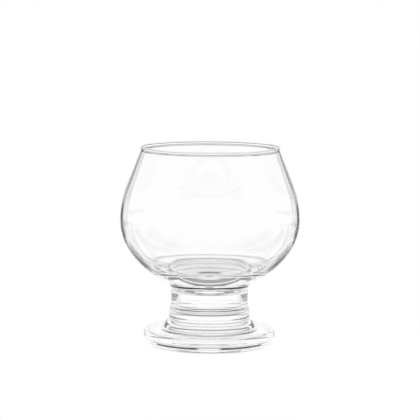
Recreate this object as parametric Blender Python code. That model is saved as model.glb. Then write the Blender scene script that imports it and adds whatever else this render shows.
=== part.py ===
"""Short brandy snifter of clear glass: a bowl, a short solid stem and a thick foot, fused end to end.

Metres, +Z up.  The origin is the middle of the ring that the foot stands on.  Every piece is turned about Z.
"""
from math import acos, asin, atan2, cos, hypot, pi, sin, tan

import bpy

# Foot: a thick disc with a shallow hollow underneath
FOOT_RADIUS = 0.02775
FOOT_THICKNESS = 0.0077
FOOT_UPPER_ROUNDING = 0.0010
FOOT_LOWER_ROUNDING = 0.0043
STANDING_RING_WIDTH = 0.0040
HOLLOW_DEPTH = 0.0013

# Skirt: the short cone on the foot, with a narrow ledge round the riser
SKIRT_HEIGHT = 0.0038
SKIRT_LEDGE = 0.0009
SKIRT_FLARE = 0.0020
SKIRT_ROUNDING = 0.0004
SKIRT_FILLET = 0.0008

# Riser: the part of the foot that the stem stands on, which widens downwards by two sloping steps
RISER_HEIGHT = 0.0104
RISER_STEPS = 2
RISER_STEP_WIDTH = 0.00028
RISER_STEP_HEIGHT = 0.0010
RISER_STEP_SPACING = 0.0017
FIRST_STEP_DROP = 0.0008

# Stem: the neck of the bowl above it has the same radius
STEM_RADIUS = 0.0165
STEM_LENGTH = 0.0054
STEM_EDGE_ROUNDING = 0.0004

# Bowl: half an ellipse below the belly, an arc and a straight cone above it, and a flat floor inside
BOWL_RADIUS = 0.0381
BELLY_DROP = 0.0303
NECK_LENGTH = 0.00055
NECK_FILLET = 0.0034
SHOULDER_RISE = 0.0304
SHOULDER_ARC_RADIUS = 0.0317
MOUTH_RADIUS = 0.0295
FLOOR_THICKNESS = 0.0092
FLOOR_CORNER = 0.0060
LOWER_WALL = 0.0025
BELLY_WALL = 0.0014
RIM_WALL = 0.0007
RIM_BEAD_RADIUS = 0.00085

# Gap left at each fused line
SEAM_GAP = 0.0003

# Fineness of the turned solids
SIDES = 48
STEPS_WIDE = 12
STEPS_NARROW = 5
MERGE_DISTANCE = 0.00001
BISECTIONS = 60

# Sizes that follow from the ones above
SKIRT_TOP = FOOT_THICKNESS + SKIRT_HEIGHT
RISER_RADIUS = STEM_RADIUS + RISER_STEPS * RISER_STEP_WIDTH
SKIRT_RADIUS = RISER_RADIUS + SKIRT_LEDGE
RISER_TOP = FOOT_THICKNESS + RISER_HEIGHT
STEM_BOTTOM = RISER_TOP + SEAM_GAP
STEM_TOP = STEM_BOTTOM + STEM_LENGTH
NECK_BOTTOM = STEM_TOP + SEAM_GAP


def arc(centre, radius, start, end, steps):
    """Points (r, z) on a circle from one angle to another, both ends included."""
    turns = (start + (end - start) * step / steps for step in range(steps + 1))
    return [(centre[0] + radius * cos(turn), centre[1] + radius * sin(turn)) for turn in turns]


def lower_bowl(radius, drop, belly, start, end, steps):
    """Points on the ellipse under the belly; angle 0 is the belly and a right angle is the lowest point."""
    turns = (start + (end - start) * step / steps for step in range(steps + 1))
    return [(radius * cos(turn), belly - drop * sin(turn)) for turn in turns]


def beside_ellipse(radius, drop, turn, distance):
    """A point at a distance outside the ellipse under the belly, and the outward normal there."""
    normal = (cos(turn) / radius, -sin(turn) / drop)
    length = hypot(*normal)
    normal = (normal[0] / length, normal[1] / length)
    point = (radius * cos(turn) + distance * normal[0], -drop * sin(turn) + distance * normal[1])
    return point, normal


def last_turn(holds):
    """The angle on the ellipse up to which a test holds, found by halving."""
    near_belly = 0.0
    near_bottom = pi / 2
    for _ in range(BISECTIONS):
        middle = (near_belly + near_bottom) / 2
        if holds(middle):
            near_belly = middle
        else:
            near_bottom = middle
    return near_belly


def tangent_turn(centre, radius, point):
    """The angle at which a line from the point touches the circle on its outer side."""
    across = point[0] - centre[0]
    up = point[1] - centre[1]
    return atan2(up, across) - acos(radius / hypot(across, up))


def lower_inside(belly):
    """The flat floor, its rounded corner and the wall from there up to the belly."""
    radius = BOWL_RADIUS - BELLY_WALL
    drop = BELLY_DROP - LOWER_WALL
    floor = NECK_BOTTOM + FLOOR_THICKNESS

    def above_floor(turn):
        centre, _normal = beside_ellipse(radius, drop, turn, -FLOOR_CORNER)
        return belly + centre[1] > floor + FLOOR_CORNER

    touch = last_turn(above_floor)
    centre, normal = beside_ellipse(radius, drop, touch, -FLOOR_CORNER)
    lean = atan2(normal[1], normal[0])
    corner = arc((centre[0], belly + centre[1]), FLOOR_CORNER, -pi / 2, lean, STEPS_NARROW)
    return [(0.0, floor)] + corner + lower_bowl(radius, drop, belly, touch, 0, STEPS_WIDE)[1:]


def outside_neck(turn):
    """Whether a fillet that touches the bowl's underside at this angle stays clear of the neck."""
    centre, _normal = beside_ellipse(BOWL_RADIUS, BELLY_DROP, turn, NECK_FILLET)
    return centre[0] > STEM_RADIUS + NECK_FILLET


def bowl_profile():
    """The bowl from its floor up the inside, round the bead at the rim and down the outside to the neck."""
    touch = last_turn(outside_neck)
    fillet_centre, normal = beside_ellipse(BOWL_RADIUS, BELLY_DROP, touch, NECK_FILLET)
    belly = NECK_BOTTOM + NECK_LENGTH - fillet_centre[1]
    shoulder_centre = (BOWL_RADIUS - SHOULDER_ARC_RADIUS, belly)
    bead_centre = (MOUTH_RADIUS - RIM_BEAD_RADIUS, belly + SHOULDER_RISE - RIM_BEAD_RADIUS)

    # The wall runs into the bead along its own slope, with half its thickness on either side
    wall_slope = tangent_turn(shoulder_centre, SHOULDER_ARC_RADIUS - BELLY_WALL / 2, bead_centre) - pi / 2
    wall_spread = asin(RIM_WALL / 2 / RIM_BEAD_RADIUS)
    bead = arc(bead_centre, RIM_BEAD_RADIUS, wall_slope + 2 * pi - wall_spread, wall_slope + wall_spread,
               2 * STEPS_NARROW)
    inner_arc_radius = SHOULDER_ARC_RADIUS - BELLY_WALL
    inner_turn = tangent_turn(shoulder_centre, inner_arc_radius, bead[0])
    outer_turn = tangent_turn(shoulder_centre, SHOULDER_ARC_RADIUS, bead[-1])

    inside = lower_inside(belly)
    inside += arc(shoulder_centre, inner_arc_radius, 0, inner_turn, STEPS_NARROW)[1:]
    outside = arc(shoulder_centre, SHOULDER_ARC_RADIUS, outer_turn, 0, STEPS_NARROW)
    outside += lower_bowl(BOWL_RADIUS, BELLY_DROP, belly, 0, touch, STEPS_WIDE)[1:]
    fillet_height = belly + fillet_centre[1]
    outside += arc((fillet_centre[0], fillet_height), NECK_FILLET, atan2(-normal[1], -normal[0]), pi,
                   STEPS_NARROW)[1:]
    outside += [(STEM_RADIUS, NECK_BOTTOM), (0.0, NECK_BOTTOM)]
    return inside + bead + outside


def stem_profile():
    """The short solid stem, with its two edges rounded."""
    core_radius = STEM_RADIUS - STEM_EDGE_ROUNDING
    upper_edge = arc((core_radius, STEM_TOP - STEM_EDGE_ROUNDING), STEM_EDGE_ROUNDING, pi / 2, 0,
                     STEPS_NARROW)
    lower_edge = arc((core_radius, STEM_BOTTOM + STEM_EDGE_ROUNDING), STEM_EDGE_ROUNDING, 0, -pi / 2,
                     STEPS_NARROW)
    return [(0.0, STEM_TOP)] + upper_edge + lower_edge + [(0.0, STEM_BOTTOM)]


def riser():
    """The riser from the fused line down to the ledge, with its sloping steps."""
    points = [(STEM_RADIUS, RISER_TOP)]
    for step in range(RISER_STEPS):
        radius = STEM_RADIUS + step * RISER_STEP_WIDTH
        top = RISER_TOP - FIRST_STEP_DROP - step * RISER_STEP_SPACING
        points += [(radius, top), (radius + RISER_STEP_WIDTH, top - RISER_STEP_HEIGHT)]
    return points + [(RISER_RADIUS, SKIRT_TOP)]


def skirt():
    """The ledge's rounded edge, the cone under it and the fillet that runs it into the top of the foot."""
    lean = atan2(SKIRT_FLARE, SKIRT_HEIGHT)
    edge = arc((SKIRT_RADIUS - SKIRT_ROUNDING, SKIRT_TOP - SKIRT_ROUNDING), SKIRT_ROUNDING, pi / 2, lean,
               STEPS_NARROW)
    foot_corner = edge[-1][0] + (edge[-1][1] - FOOT_THICKNESS) * tan(lean)
    fillet_middle = foot_corner + SKIRT_FILLET * tan((pi / 2 - lean) / 2)
    fillet = arc((fillet_middle, FOOT_THICKNESS + SKIRT_FILLET), SKIRT_FILLET, pi + lean, 1.5 * pi,
                 STEPS_NARROW)
    return edge + fillet


def hollow(outer_radius):
    """The shallow hollow under the foot, from its edge to its middle."""
    shares = (1 - step / STEPS_NARROW for step in range(STEPS_NARROW + 1))
    return [(outer_radius * share, HOLLOW_DEPTH * (1 - share * share)) for share in shares]


def foot_profile():
    """The riser, the skirt, the flat top of the foot, its rounded edge, the standing ring and the hollow."""
    ring_outer = FOOT_RADIUS - FOOT_LOWER_ROUNDING
    profile = [(0.0, RISER_TOP)] + riser() + skirt()
    profile += arc((FOOT_RADIUS - FOOT_UPPER_ROUNDING, FOOT_THICKNESS - FOOT_UPPER_ROUNDING),
                   FOOT_UPPER_ROUNDING, pi / 2, 0, STEPS_NARROW)
    profile += arc((ring_outer, FOOT_LOWER_ROUNDING), FOOT_LOWER_ROUNDING, 0, -pi / 2, STEPS_WIDE)
    profile += hollow(ring_outer - STANDING_RING_WIDTH)
    return profile


def clear_glass():
    """Clear glass with the faintest grey cast."""
    material = bpy.data.materials.new("clear_glass")
    material.use_nodes = True
    shader = material.node_tree.nodes["Principled BSDF"]
    shader.inputs["Base Color"].default_value = (0.97, 0.98, 0.98, 1.0)
    shader.inputs["Roughness"].default_value = 0.02
    shader.inputs["Metallic"].default_value = 0.0
    shader.inputs["IOR"].default_value = 1.52
    shader.inputs["Transmission Weight"].default_value = 1.0
    return material


def turn(name, profile, material):
    """Turn a profile, which runs from the top of the axis down its outer side, about Z."""
    mesh = bpy.data.meshes.new(name)
    edges = [(index, index + 1) for index in range(len(profile) - 1)]
    mesh.from_pydata([(r, 0.0, z) for r, z in profile], edges, [])
    mesh.materials.append(material)
    piece = bpy.data.objects.new(name, mesh)
    bpy.context.scene.collection.objects.link(piece)
    screw = piece.modifiers.new("turn about Z", "SCREW")
    screw.axis = "Z"
    screw.steps = SIDES
    screw.render_steps = SIDES
    screw.use_merge_vertices = True
    screw.merge_threshold = MERGE_DISTANCE
    screw.use_smooth_shade = True
    return piece


def main():
    for old in list(bpy.data.objects):
        bpy.data.objects.remove(old, do_unlink=True)
    glass = clear_glass()
    turn("bowl", bowl_profile(), glass)
    turn("stem", stem_profile(), glass)
    turn("foot", foot_profile(), glass)


main()
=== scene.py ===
"""Looks of the short brandy snifter: clear glass on a pale table, in a bright studio.

The bowl, stem and foot are fused, so they meet at clear joints that let light pass from one to the next.
Metres, +Z up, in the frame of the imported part.
"""

from math import acos, asin, atan2, cos, exp, hypot, pi, radians, sin, tan
from typing import NamedTuple

import bpy
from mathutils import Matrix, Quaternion, Vector


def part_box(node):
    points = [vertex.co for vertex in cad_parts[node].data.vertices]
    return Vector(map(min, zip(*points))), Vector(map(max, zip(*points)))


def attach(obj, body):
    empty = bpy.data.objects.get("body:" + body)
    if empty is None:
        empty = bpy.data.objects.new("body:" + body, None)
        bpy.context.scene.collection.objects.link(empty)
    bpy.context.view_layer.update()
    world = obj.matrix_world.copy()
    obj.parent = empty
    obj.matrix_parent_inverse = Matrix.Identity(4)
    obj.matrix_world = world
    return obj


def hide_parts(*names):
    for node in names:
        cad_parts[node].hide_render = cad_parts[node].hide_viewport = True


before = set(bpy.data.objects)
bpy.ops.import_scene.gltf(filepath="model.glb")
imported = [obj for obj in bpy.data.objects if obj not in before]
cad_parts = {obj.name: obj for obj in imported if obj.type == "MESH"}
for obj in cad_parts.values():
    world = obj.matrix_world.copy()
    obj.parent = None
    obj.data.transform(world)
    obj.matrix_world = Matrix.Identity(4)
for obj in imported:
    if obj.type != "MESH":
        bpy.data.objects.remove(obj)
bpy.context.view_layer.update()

# Sizes that the solids give
BOWL_LOW, BOWL_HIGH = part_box("bowl")
STEM_LOW, STEM_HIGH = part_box("stem")
_, FOOT_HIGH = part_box("foot")
BOWL_RADIUS = BOWL_HIGH.x
RIM_TOP = BOWL_HIGH.z
STEM_RADIUS = STEM_HIGH.x
FOOT_RADIUS = FOOT_HIGH.x
UPPER_JOINT = (BOWL_LOW.z + STEM_HIGH.z) / 2
LOWER_JOINT = (STEM_LOW.z + FOOT_HIGH.z) / 2

# Bowl: half an ellipse below the belly, an arc that eases into a cone above it, and a flat floor inside
SHOULDER_RISE = 0.0304
BELLY = RIM_TOP - SHOULDER_RISE
BELLY_DROP = 0.0303
SHOULDER_ARC_RADIUS = 0.0317
SHOULDER_EASE = 0.0070
MOUTH_RADIUS = 0.0295
RIM_BEAD_RADIUS = 0.00085
RIM_WALL = 0.0007
BELLY_WALL = 0.0014
LOWER_WALL = 0.0025
FLOOR_HEIGHT = 0.0333
FLOOR_CORNER = 0.0060
NECK_FILLET = 0.0034
BISECTIONS = 60

# Groove of the fused line above the stem, and the riser's soft steps below it: height and width of each
GROOVE_DEPTH = 0.00018
GROOVE_WIDTH = 0.00040
RISER_STEPS = ((0.0168, 0.00028), (0.0151, 0.00028), (0.0130, 0.00006))
STEP_SOFTNESS = 0.0005
RISER_RADIUS = STEM_RADIUS + sum(width for height, width in RISER_STEPS)

# Foot: a skirt on a thick disc with a shallow hollow underneath
FOOT_THICKNESS = 0.0077
FOOT_UPPER_ROUNDING = 0.0010
FOOT_LOWER_ROUNDING = 0.0043
STANDING_RING_WIDTH = 0.0040
HOLLOW_DEPTH = 0.0013
SKIRT_HEIGHT = 0.0038
SKIRT_LEDGE = 0.0009
SKIRT_FLARE = 0.0020
SKIRT_ROUNDING = 0.0004
SKIRT_FILLET = 0.0008
LEDGE_COVE = 0.0003

# Fineness of the turned pieces
SIDES = 160
STEPS_RISER = 96
STEPS_WIDE = 48
STEPS_MIDDLE = 24
STEPS_NARROW = 8

# Glass: how much it bends light, and its faint cast
GLASS_IOR = 1.52
CAST_SCALE = 40.0
CAST_COLOUR = (0.985, 0.990, 0.990, 1.0)
WHITE = (1.0, 1.0, 1.0, 1.0)

# Place of the joint's material on each piece, after the glass
JOINT_MATERIAL = 1

# How often light may cross a face of the glass, and how often it may be mirrored
CROSSINGS = 32
REFLECTIONS = 16

# Camera: where it stands and aims, in metres, and its lens for the square frame
FRAME_PIXELS = 420
FOCAL_PIXELS = 2565
SENSOR_WIDTH = 36.0
CAMERA_DISTANCE = 1.077
CAMERA_HEIGHT = 0.176
AIM_HEIGHT = 0.0577
CAMERA_ROLL = radians(0.38)

# Degrees before straight behind, for what runs across the middle without an edge there
PAST_MIDDLE = -10


class Cloth(NamedTuple):
    """A dark cloth on both sides. Degrees; bearings count from straight behind, elevations from level."""
    bearings: tuple
    side_softness: float
    elevations: tuple
    softness: float
    darkness: float


class Shade(NamedTuple):
    """A soft patch of shade round the foot, on both sides and in front as behind. Metres and degrees."""
    radii: tuple
    softness: float
    bearings: tuple
    side_softness: float
    depth: float


# Studio: a white room with dark cloths, each with a note of what it mainly draws on the glass
CLOTH_BRIGHTNESS = 0.03
DARK_CLOTHS = (
    # The sides of the bowl
    Cloth(bearings=(15, 29), side_softness=2.5, elevations=(-16, -0.5), softness=2, darkness=0.95),
    # The lower edge of the foot, on both sides of its middle
    Cloth(bearings=(6.5, 42), side_softness=2, elevations=(2, 9.5), softness=1.5, darkness=1.0),
    # The upper corners of the stem
    Cloth(bearings=(34, 78), side_softness=2, elevations=(-9.5, -6.5), softness=1.2, darkness=0.75),
    # The two ends of the skirt
    Cloth(bearings=(43, 57.5), side_softness=2, elevations=(10, 55), softness=3, darkness=1.0),
    # A short line in the middle of the bowl's floor
    Cloth(bearings=(PAST_MIDDLE, 6), side_softness=2, elevations=(49.5, 71), softness=1.5, darkness=1.0),
    # The grey of the bowl's floor
    Cloth(bearings=(PAST_MIDDLE, 13), side_softness=2, elevations=(6, 15), softness=1.5, darkness=0.7),
    # The line round the skirt
    Cloth(bearings=(PAST_MIDDLE, 38), side_softness=2, elevations=(19.5, 34), softness=1.5, darkness=0.7),
    # The rim
    Cloth(bearings=(PAST_MIDDLE, 14), side_softness=2, elevations=(-33, -18.5), softness=1.5, darkness=1.0),
    # The two ends of the foot
    Cloth(bearings=(66, 93), side_softness=2, elevations=(21, 71), softness=2, darkness=0.7),
)

# What the glass mirrors outright is white, but for the cloths low down behind that its outline grazes
MIRRORED_BRIGHTNESS = 0.95
GRAZED_BEARING = radians(40)
GRAZED_BEARING_SOFTNESS = radians(6)
GRAZED_TOP = radians(-1)
GRAZED_TOP_SOFTNESS = radians(2)

# Table: a pale top with shades that only the glass sees, each with a note of what it mainly draws there
TABLE_HALF_WIDTH = 0.092
TABLE_HALF_LENGTH = 0.165
TABLE_SHADE_SHARE = 0.15
TABLE_GLOW = 1.09
TABLE_COLOUR = (0.9, 0.9, 0.9, 1.0)
ALL_ROUND = (PAST_MIDDLE, 100)
PAST_TABLE = 0.3
TABLE_SHADES = (
    # The steps of the riser and the bottom of the skirt
    Shade(radii=(0.0155, 0.0200), softness=0.0010, bearings=ALL_ROUND, side_softness=1, depth=0.95),
    # The arch in the neck and the lower step of the riser
    Shade(radii=(0.0375, 0.0425), softness=0.0010, bearings=(PAST_MIDDLE, 60), side_softness=3, depth=0.90),
    # The crescent above that arch, and the back of the bowl's floor
    Shade(radii=(0.0445, 0.0520), softness=0.0010, bearings=(PAST_MIDDLE, 60), side_softness=3, depth=0.75),
    # The lower outline of the bowl and the upper step of the riser
    Shade(radii=(0.0730, 0.1000), softness=0.0015, bearings=(PAST_MIDDLE, 57), side_softness=3, depth=0.40),
    # The lower sides of the bowl
    Shade(radii=(0.0850, PAST_TABLE), softness=0.0060, bearings=(35, 52), side_softness=10, depth=0.40),
    # The lower fused line
    Shade(radii=(0.1100, 0.1140), softness=0.0015, bearings=(PAST_MIDDLE, 49), side_softness=3, depth=1.0),
)


def arc(centre, radius, start, end, steps):
    """Points (r, z) on a circle from one angle to another, both ends included."""
    turns = (start + (end - start) * step / steps for step in range(steps + 1))
    return [(centre[0] + radius * cos(turn), centre[1] + radius * sin(turn)) for turn in turns]


def line(start, end, steps):
    """Points on a straight line, both ends included."""
    across = end[0] - start[0]
    up = end[1] - start[1]
    shares = (step / steps for step in range(steps + 1))
    return [(start[0] + across * share, start[1] + up * share) for share in shares]


def lower_bowl(radius, drop, start, end):
    """Points on the ellipse under the belly; angle 0 is the belly and a right angle is the lowest point."""
    turns = (start + (end - start) * step / STEPS_WIDE for step in range(STEPS_WIDE + 1))
    return [(radius * cos(turn), BELLY - drop * sin(turn)) for turn in turns]


def beside_ellipse(radius, drop, turn, distance):
    """A point at a distance outside the ellipse under the belly, and the outward normal there."""
    normal = (cos(turn) / radius, -sin(turn) / drop)
    length = hypot(*normal)
    normal = (normal[0] / length, normal[1] / length)
    point = (radius * cos(turn) + distance * normal[0], BELLY - drop * sin(turn) + distance * normal[1])
    return point, normal


def last_turn(holds):
    """The angle up to which a test holds, found by halving."""
    holding = 0.0
    failing = pi / 2
    for _ in range(BISECTIONS):
        middle = (holding + failing) / 2
        if holds(middle):
            holding = middle
        else:
            failing = middle
    return holding


def tangent_turn(centre, radius, point):
    """The angle at which a line from the point touches the circle on its outer side."""
    across = point[0] - centre[0]
    up = point[1] - centre[1]
    return atan2(up, across) - acos(radius / hypot(across, up))


def soft_step(value, middle, softness):
    """A soft step from 0 to 1 round the middle value."""
    share = min(max((value - middle + softness) / (2 * softness), 0.0), 1.0)
    return share * share * (3 - 2 * share)


def shoulder(radius, arc_radius, end):
    """The wall from the belly up to the bead: an arc that eases into a straight cone."""

    def eased(turn):
        """Points along an arc of this angle that straightens at its end, and the heading there."""
        length = arc_radius * turn
        step = (length + SHOULDER_EASE) / STEPS_WIDE
        heading = pi / 2
        points = [(radius, BELLY)]
        for index in range(STEPS_WIDE):
            middle = (index + 1 / 2) * step
            bend = step / arc_radius * (1 - soft_step(middle, length, SHOULDER_EASE))
            lean = heading + bend / 2
            points.append((points[-1][0] + step * cos(lean), points[-1][1] + step * sin(lean)))
            heading += bend
        return points, heading

    def passes_outside(turn):
        """Whether the cone that goes on from this arc would pass outside the bead."""
        points, heading = eased(turn)
        return cos(heading) * (end[1] - points[-1][1]) > sin(heading) * (end[0] - points[-1][0])

    points, _heading = eased(last_turn(passes_outside))
    return points + line(points[-1], end, STEPS_MIDDLE)[1:-1]


def stem_wall(start, end, steps):
    """The straight wall of the neck and stem, with the groove of the upper fused line."""
    heights = (start + (end - start) * step / steps for step in range(steps + 1))
    return [(STEM_RADIUS - GROOVE_DEPTH * exp(-((height - UPPER_JOINT) / GROOVE_WIDTH) ** 2), height)
            for height in heights]


def lower_inside():
    """The flat floor, its rounded corner and the wall from there up to the belly."""
    radius = BOWL_RADIUS - BELLY_WALL
    drop = BELLY_DROP - LOWER_WALL

    def above_floor(turn):
        """Whether a corner that touches the wall at this angle stays clear of the floor."""
        centre, _normal = beside_ellipse(radius, drop, turn, -FLOOR_CORNER)
        return centre[1] > FLOOR_HEIGHT + FLOOR_CORNER

    touch = last_turn(above_floor)
    centre, normal = beside_ellipse(radius, drop, touch, -FLOOR_CORNER)
    corner = arc(centre, FLOOR_CORNER, -pi / 2, atan2(normal[1], normal[0]), STEPS_MIDDLE)
    floor = line((0.0, FLOOR_HEIGHT), corner[0], STEPS_MIDDLE)[:-1]
    return floor + corner + lower_bowl(radius, drop, touch, 0)[1:]


def outside_neck(turn):
    """Whether a fillet that touches the bowl's underside at this angle stays clear of the neck."""
    centre, _normal = beside_ellipse(BOWL_RADIUS, BELLY_DROP, turn, NECK_FILLET)
    return centre[0] > STEM_RADIUS + NECK_FILLET


def bowl_profile():
    """The bowl: from its floor up the inside, round the bead and down the outside to the upper joint."""
    shoulder_centre = (BOWL_RADIUS - SHOULDER_ARC_RADIUS, BELLY)
    bead_centre = (MOUTH_RADIUS - RIM_BEAD_RADIUS, RIM_TOP - RIM_BEAD_RADIUS)

    # The wall meets the bead at about its own slope, with half its thickness on either side
    wall_slope = tangent_turn(shoulder_centre, SHOULDER_ARC_RADIUS - BELLY_WALL / 2, bead_centre) - pi / 2
    wall_spread = asin(RIM_WALL / 2 / RIM_BEAD_RADIUS)
    bead = arc(bead_centre, RIM_BEAD_RADIUS, wall_slope + 2 * pi - wall_spread, wall_slope + wall_spread,
               STEPS_MIDDLE)
    inside = lower_inside()
    inside += shoulder(BOWL_RADIUS - BELLY_WALL, SHOULDER_ARC_RADIUS - BELLY_WALL, bead[0])[1:]
    outside = shoulder(BOWL_RADIUS, SHOULDER_ARC_RADIUS, bead[-1])[::-1]
    touch = last_turn(outside_neck)
    outside += lower_bowl(BOWL_RADIUS, BELLY_DROP, 0, touch)[1:]
    centre, normal = beside_ellipse(BOWL_RADIUS, BELLY_DROP, touch, NECK_FILLET)
    outside += arc(centre, NECK_FILLET, atan2(-normal[1], -normal[0]), pi, STEPS_MIDDLE)[1:-1]
    outside += stem_wall(centre[1], UPPER_JOINT, STEPS_NARROW)
    return inside + bead + outside + [(0.0, UPPER_JOINT)]


def stem_profile():
    """The short solid stem between the two joints."""
    return [(0.0, UPPER_JOINT)] + stem_wall(UPPER_JOINT, LOWER_JOINT, STEPS_WIDE) + [(0.0, LOWER_JOINT)]


def stepped_wall(start, end, steps):
    """The wall of the riser, which widens downwards by a few soft steps."""
    points = []
    for step in range(steps + 1):
        height = start + (end - start) * step / steps
        out = sum(width * soft_step(middle, height, STEP_SOFTNESS) for middle, width in RISER_STEPS)
        points.append((STEM_RADIUS + out, height))
    return points


def skirt():
    """The ledge's rounded edge, the cone under it and the fillet that runs it into the top of the foot."""
    top = FOOT_THICKNESS + SKIRT_HEIGHT
    edge_radius = RISER_RADIUS + SKIRT_LEDGE
    lean = atan2(SKIRT_FLARE, SKIRT_HEIGHT)
    edge_centre = (edge_radius - SKIRT_ROUNDING, top - SKIRT_ROUNDING)
    edge = arc(edge_centre, SKIRT_ROUNDING, pi / 2, lean, STEPS_NARROW)
    foot_corner = edge[-1][0] + (edge[-1][1] - FOOT_THICKNESS) * tan(lean)
    fillet_touch = foot_corner + SKIRT_FILLET * tan((pi / 2 - lean) / 2)
    fillet_centre = (fillet_touch, FOOT_THICKNESS + SKIRT_FILLET)
    fillet = arc(fillet_centre, SKIRT_FILLET, pi + lean, 3 * pi / 2, STEPS_NARROW)
    return edge + line(edge[-1], fillet[0], STEPS_NARROW)[1:-1] + fillet


def riser():
    """The riser from the lower joint down to the small cove where it meets the ledge."""
    ledge = FOOT_THICKNESS + SKIRT_HEIGHT
    cove_centre = (RISER_RADIUS + LEDGE_COVE, ledge + LEDGE_COVE)
    cove = arc(cove_centre, LEDGE_COVE, pi, 3 * pi / 2, STEPS_NARROW)
    return stepped_wall(LOWER_JOINT, cove[0][1], STEPS_RISER)[:-1] + cove


def hollow(outer_radius):
    """The shallow hollow under the foot, from its edge to its middle."""
    shares = (1 - step / STEPS_MIDDLE for step in range(STEPS_MIDDLE + 1))
    return [(outer_radius * share, HOLLOW_DEPTH * (1 - share * share)) for share in shares]


def foot_profile():
    """The riser, the skirt, the top of the foot, its rounded edge, the standing ring and the hollow."""
    ring_outer = FOOT_RADIUS - FOOT_LOWER_ROUNDING
    upper_centre = (FOOT_RADIUS - FOOT_UPPER_ROUNDING, FOOT_THICKNESS - FOOT_UPPER_ROUNDING)
    upper_edge = arc(upper_centre, FOOT_UPPER_ROUNDING, pi / 2, 0, STEPS_NARROW)
    lower_edge = arc((ring_outer, FOOT_LOWER_ROUNDING), FOOT_LOWER_ROUNDING, 0, -pi / 2, STEPS_MIDDLE)
    profile = [(0.0, LOWER_JOINT)] + riser() + skirt()
    profile += line(profile[-1], upper_edge[0], STEPS_MIDDLE)[1:-1] + upper_edge
    profile += line(upper_edge[-1], lower_edge[0], STEPS_NARROW)[1:-1] + lower_edge
    return profile + hollow(ring_outer - STANDING_RING_WIDTH)


def ring_of(point, vertices):
    """Adds one ring of vertices, or a single one on the axis, and gives their numbers."""
    radius, height = point
    first = len(vertices)
    if radius == 0.0:
        vertices.append((0.0, 0.0, height))
        return [first] * SIDES
    turns = (2 * pi * side / SIDES for side in range(SIDES))
    vertices.extend((radius * cos(turn), radius * sin(turn), height) for turn in turns)
    return list(range(first, first + SIDES))


def band(upper, lower):
    """The faces between two rings, three-sided where one ring is a point on the axis."""
    faces = []
    for side in range(SIDES):
        after = (side + 1) % SIDES
        corners = (upper[side], lower[side], lower[after], upper[after])
        faces.append(tuple(dict.fromkeys(corners)))
    return faces


def turned(name, profile, joints):
    """A closed piece turned about Z. Faces that lie flat at a joint's height get the joint's material."""
    vertices = []
    faces = []
    at_joint = []
    rings = [ring_of(point, vertices) for point in profile]
    for above, below, first, second in zip(profile, profile[1:], rings, rings[1:]):
        new = band(first, second)
        faces += new
        at_joint += [above[1] == below[1] and above[1] in joints] * len(new)
    mesh = bpy.data.meshes.new(name)
    mesh.from_pydata(vertices, [], faces)
    mesh.shade_smooth()
    for polygon, flat in zip(mesh.polygons, at_joint):
        if flat:
            polygon.material_index = JOINT_MATERIAL
            polygon.use_smooth = False
    piece = bpy.data.objects.new(name, mesh)
    bpy.context.scene.collection.objects.link(piece)
    return piece


def clear_glass(name):
    """Clear glass with a faint, slowly changing cast."""
    material = bpy.data.materials.new(name)
    material.use_nodes = True
    nodes = material.node_tree.nodes
    links = material.node_tree.links
    shader = nodes["Principled BSDF"]
    shader.inputs["Roughness"].default_value = 0.0
    shader.inputs["IOR"].default_value = GLASS_IOR
    shader.inputs["Transmission Weight"].default_value = 1.0
    place = nodes.new("ShaderNodeTexCoord")
    cloud = nodes.new("ShaderNodeTexNoise")
    cloud.inputs["Scale"].default_value = CAST_SCALE
    cast = nodes.new("ShaderNodeValToRGB")
    cast.color_ramp.elements[0].color = CAST_COLOUR
    cast.color_ramp.elements[1].color = WHITE
    links.new(place.outputs["Object"], cloud.inputs["Vector"])
    links.new(cloud.outputs["Fac"], cast.inputs["Fac"])
    links.new(cast.outputs["Color"], shader.inputs["Base Color"])
    return material


def clear_joint():
    """The faces where two pieces are fused: fully transparent, so that light crosses them unbent."""
    material = bpy.data.materials.new("clear_joint")
    material.use_nodes = True
    nodes = material.node_tree.nodes
    nodes.clear()
    output = nodes.new("ShaderNodeOutputMaterial")
    clear = nodes.new("ShaderNodeBsdfTransparent")
    material.node_tree.links.new(clear.outputs["BSDF"], output.inputs["Surface"])
    return material


def dress(node, profile, joint):
    """Puts a turned piece of glass in the place of one solid."""
    slot = node + "_glass"
    piece = turned(node + "_visual", profile, (UPPER_JOINT, LOWER_JOINT))
    piece.data.materials.append(clear_glass(slot))
    piece.data.materials.append(joint)
    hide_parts(node)
    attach(piece, "root")


def maths(tree, operation, first, second=0.0):
    """A Math node; each input is a number or another node's output."""
    node = tree.nodes.new("ShaderNodeMath")
    node.operation = operation
    for socket, value in zip(node.inputs, (first, second)):
        if isinstance(value, bpy.types.NodeSocket):
            tree.links.new(value, socket)
        else:
            socket.default_value = value
    return node.outputs[0]


def blend(tree, share, first, second):
    """First where the share is 0 and second where it is 1."""
    kept = maths(tree, "MULTIPLY", maths(tree, "SUBTRACT", 1.0, share), first)
    return maths(tree, "ADD", kept, maths(tree, "MULTIPLY", share, second))


def rise(tree, value, middle, softness):
    """A soft step from 0 to 1 round the middle value."""
    node = tree.nodes.new("ShaderNodeMapRange")
    node.interpolation_type = "SMOOTHSTEP"
    node.inputs["From Min"].default_value = middle - softness
    node.inputs["From Max"].default_value = middle + softness
    tree.links.new(value, node.inputs["Value"])
    return node.outputs["Result"]


def between(tree, value, limits, softness):
    """1 between the two limits and 0 outside them, with soft edges."""
    start, end = limits
    return maths(tree, "SUBTRACT", rise(tree, value, start, softness), rise(tree, value, end, softness))


def between_angles(tree, value, limits, softness):
    """The same for an angle, with its limits and softness in degrees."""
    return between(tree, value, [radians(limit) for limit in limits], radians(softness))


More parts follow.
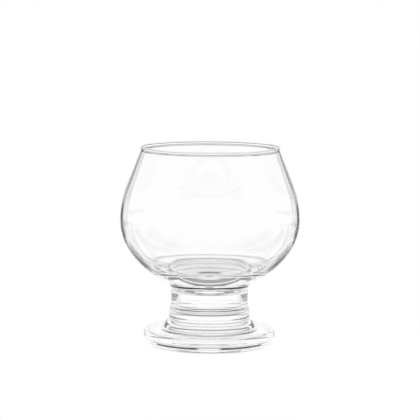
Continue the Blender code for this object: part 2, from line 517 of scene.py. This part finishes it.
def hung_cloths(tree, bearing, elevation):
    """How dark the cloths make the room in each direction."""
    dark = 0.0
    for cloth in DARK_CLOTHS:
        across = between_angles(tree, bearing, cloth.bearings, cloth.side_softness)
        upright = between_angles(tree, elevation, cloth.elevations, cloth.softness)
        patch = maths(tree, "MULTIPLY", across, upright)
        dark = maths(tree, "MAXIMUM", maths(tree, "MULTIPLY", patch, cloth.darkness), dark)
    return dark


def mirrored_white(tree, ray, bearing, elevation):
    """1 for what the glass mirrors outright, clear of the cloths that its outline grazes, and else 0."""
    mirrored = maths(tree, "SUBTRACT", ray.outputs["Is Glossy Ray"], ray.outputs["Is Transmission Ray"])
    aside = rise(tree, bearing, GRAZED_BEARING, GRAZED_BEARING_SOFTNESS)
    above = rise(tree, elevation, GRAZED_TOP, GRAZED_TOP_SOFTNESS)
    clear_of_cloths = maths(tree, "MAXIMUM", aside, above)
    return maths(tree, "MULTIPLY", maths(tree, "MAXIMUM", mirrored, 0.0), clear_of_cloths)


def studio():
    """The world: white to the camera, and to the glass a white room hung with dark cloths."""
    world = bpy.data.worlds.new("studio")
    bpy.context.scene.world = world
    world.use_nodes = True
    tree = world.node_tree
    tree.nodes.clear()
    output = tree.nodes.new("ShaderNodeOutputWorld")
    light = tree.nodes.new("ShaderNodeBackground")
    light.inputs["Color"].default_value = WHITE
    tree.links.new(light.outputs["Background"], output.inputs["Surface"])
    place = tree.nodes.new("ShaderNodeTexCoord")
    axes = tree.nodes.new("ShaderNodeSeparateXYZ")
    tree.links.new(place.outputs["Generated"], axes.inputs["Vector"])
    east, north, up = axes.outputs
    elevation = maths(tree, "ARCSINE", up)
    bearing = maths(tree, "ABSOLUTE", maths(tree, "ARCTAN2", east, north))
    ray = tree.nodes.new("ShaderNodeLightPath")
    mirrored = mirrored_white(tree, ray, bearing, elevation)
    brightness = blend(tree, hung_cloths(tree, bearing, elevation), 1.0, CLOTH_BRIGHTNESS)
    brightness = blend(tree, mirrored, brightness, MIRRORED_BRIGHTNESS)
    brightness = blend(tree, ray.outputs["Is Camera Ray"], brightness, 1.0)
    tree.links.new(brightness, light.inputs["Strength"])


def table_shade(tree):
    """How deep the shade is at each place on the table."""
    place = tree.nodes.new("ShaderNodeTexCoord")
    axes = tree.nodes.new("ShaderNodeSeparateXYZ")
    tree.links.new(place.outputs["Object"], axes.inputs["Vector"])
    east = maths(tree, "ABSOLUTE", axes.outputs["X"])
    north = maths(tree, "ABSOLUTE", axes.outputs["Y"])
    away = tree.nodes.new("ShaderNodeVectorMath")
    away.operation = "LENGTH"
    tree.links.new(place.outputs["Object"], away.inputs[0])
    distance = away.outputs["Value"]
    bearing = maths(tree, "ARCTAN2", east, north)
    deepest = 0.0
    for shade in TABLE_SHADES:
        outwards = between(tree, distance, shade.radii, shade.softness)
        across = between_angles(tree, bearing, shade.bearings, shade.side_softness)
        patch = maths(tree, "MULTIPLY", outwards, across)
        deepest = maths(tree, "MAXIMUM", maths(tree, "MULTIPLY", patch, shade.depth), deepest)
    return deepest


def pale_table():
    """A top that glows enough to look white and takes a soft shadow. Only the glass sees its shades."""
    material = bpy.data.materials.new("pale_table")
    material.use_nodes = True
    tree = material.node_tree
    tree.nodes.clear()
    output = tree.nodes.new("ShaderNodeOutputMaterial")
    mix = tree.nodes.new("ShaderNodeMixShader")
    glow = tree.nodes.new("ShaderNodeEmission")
    matt = tree.nodes.new("ShaderNodeBsdfDiffuse")
    matt.inputs["Color"].default_value = TABLE_COLOUR
    mix.inputs["Fac"].default_value = TABLE_SHADE_SHARE
    ray = tree.nodes.new("ShaderNodeLightPath")
    shaded = blend(tree, table_shade(tree), TABLE_GLOW, 0.0)
    tree.links.new(blend(tree, ray.outputs["Is Camera Ray"], shaded, TABLE_GLOW), glow.inputs["Strength"])
    tree.links.new(glow.outputs["Emission"], mix.inputs[1])
    tree.links.new(matt.outputs["BSDF"], mix.inputs[2])
    tree.links.new(mix.outputs["Shader"], output.inputs["Surface"])
    return material


def table_top():
    """The flat top that the glass stands on."""
    corners = ((-TABLE_HALF_WIDTH, -TABLE_HALF_LENGTH, 0.0), (TABLE_HALF_WIDTH, -TABLE_HALF_LENGTH, 0.0),
               (TABLE_HALF_WIDTH, TABLE_HALF_LENGTH, 0.0), (-TABLE_HALF_WIDTH, TABLE_HALF_LENGTH, 0.0))
    mesh = bpy.data.meshes.new("table_top")
    mesh.from_pydata(corners, [], [(0, 1, 2, 3)])
    mesh.materials.append(pale_table())
    table = bpy.data.objects.new("table_top", mesh)
    bpy.context.scene.collection.objects.link(table)


def camera():
    """The camera, in front of the glass and higher than its rim, rolled as the photograph is."""
    data = bpy.data.cameras.new("camera")
    data.sensor_width = SENSOR_WIDTH
    data.lens = SENSOR_WIDTH * FOCAL_PIXELS / FRAME_PIXELS
    eye = bpy.data.objects.new("camera", data)
    bpy.context.scene.collection.objects.link(eye)
    eye.location = (0.0, -CAMERA_DISTANCE, CAMERA_HEIGHT)
    aim = Vector((0.0, 0.0, AIM_HEIGHT)) - eye.location
    eye.rotation_mode = "QUATERNION"
    eye.rotation_quaternion = aim.to_track_quat("-Z", "Y") @ Quaternion((0.0, 0.0, 1.0), CAMERA_ROLL)
    bpy.context.scene.camera = eye


def light_paths():
    """Lets light cross the many faces of thick glass, and sets plain colours."""
    scene = bpy.context.scene
    scene.cycles.max_bounces = CROSSINGS
    scene.cycles.transmission_bounces = CROSSINGS
    scene.cycles.glossy_bounces = REFLECTIONS
    scene.cycles.transparent_max_bounces = CROSSINGS
    scene.view_settings.view_transform = "Standard"


def main():
    """Dresses the part, sets up the table, the room and the camera."""
    joint = clear_joint()
    dress("bowl", bowl_profile(), joint)
    dress("stem", stem_profile(), joint)
    dress("foot", foot_profile(), joint)
    table_top()
    studio()
    camera()
    light_paths()


main()
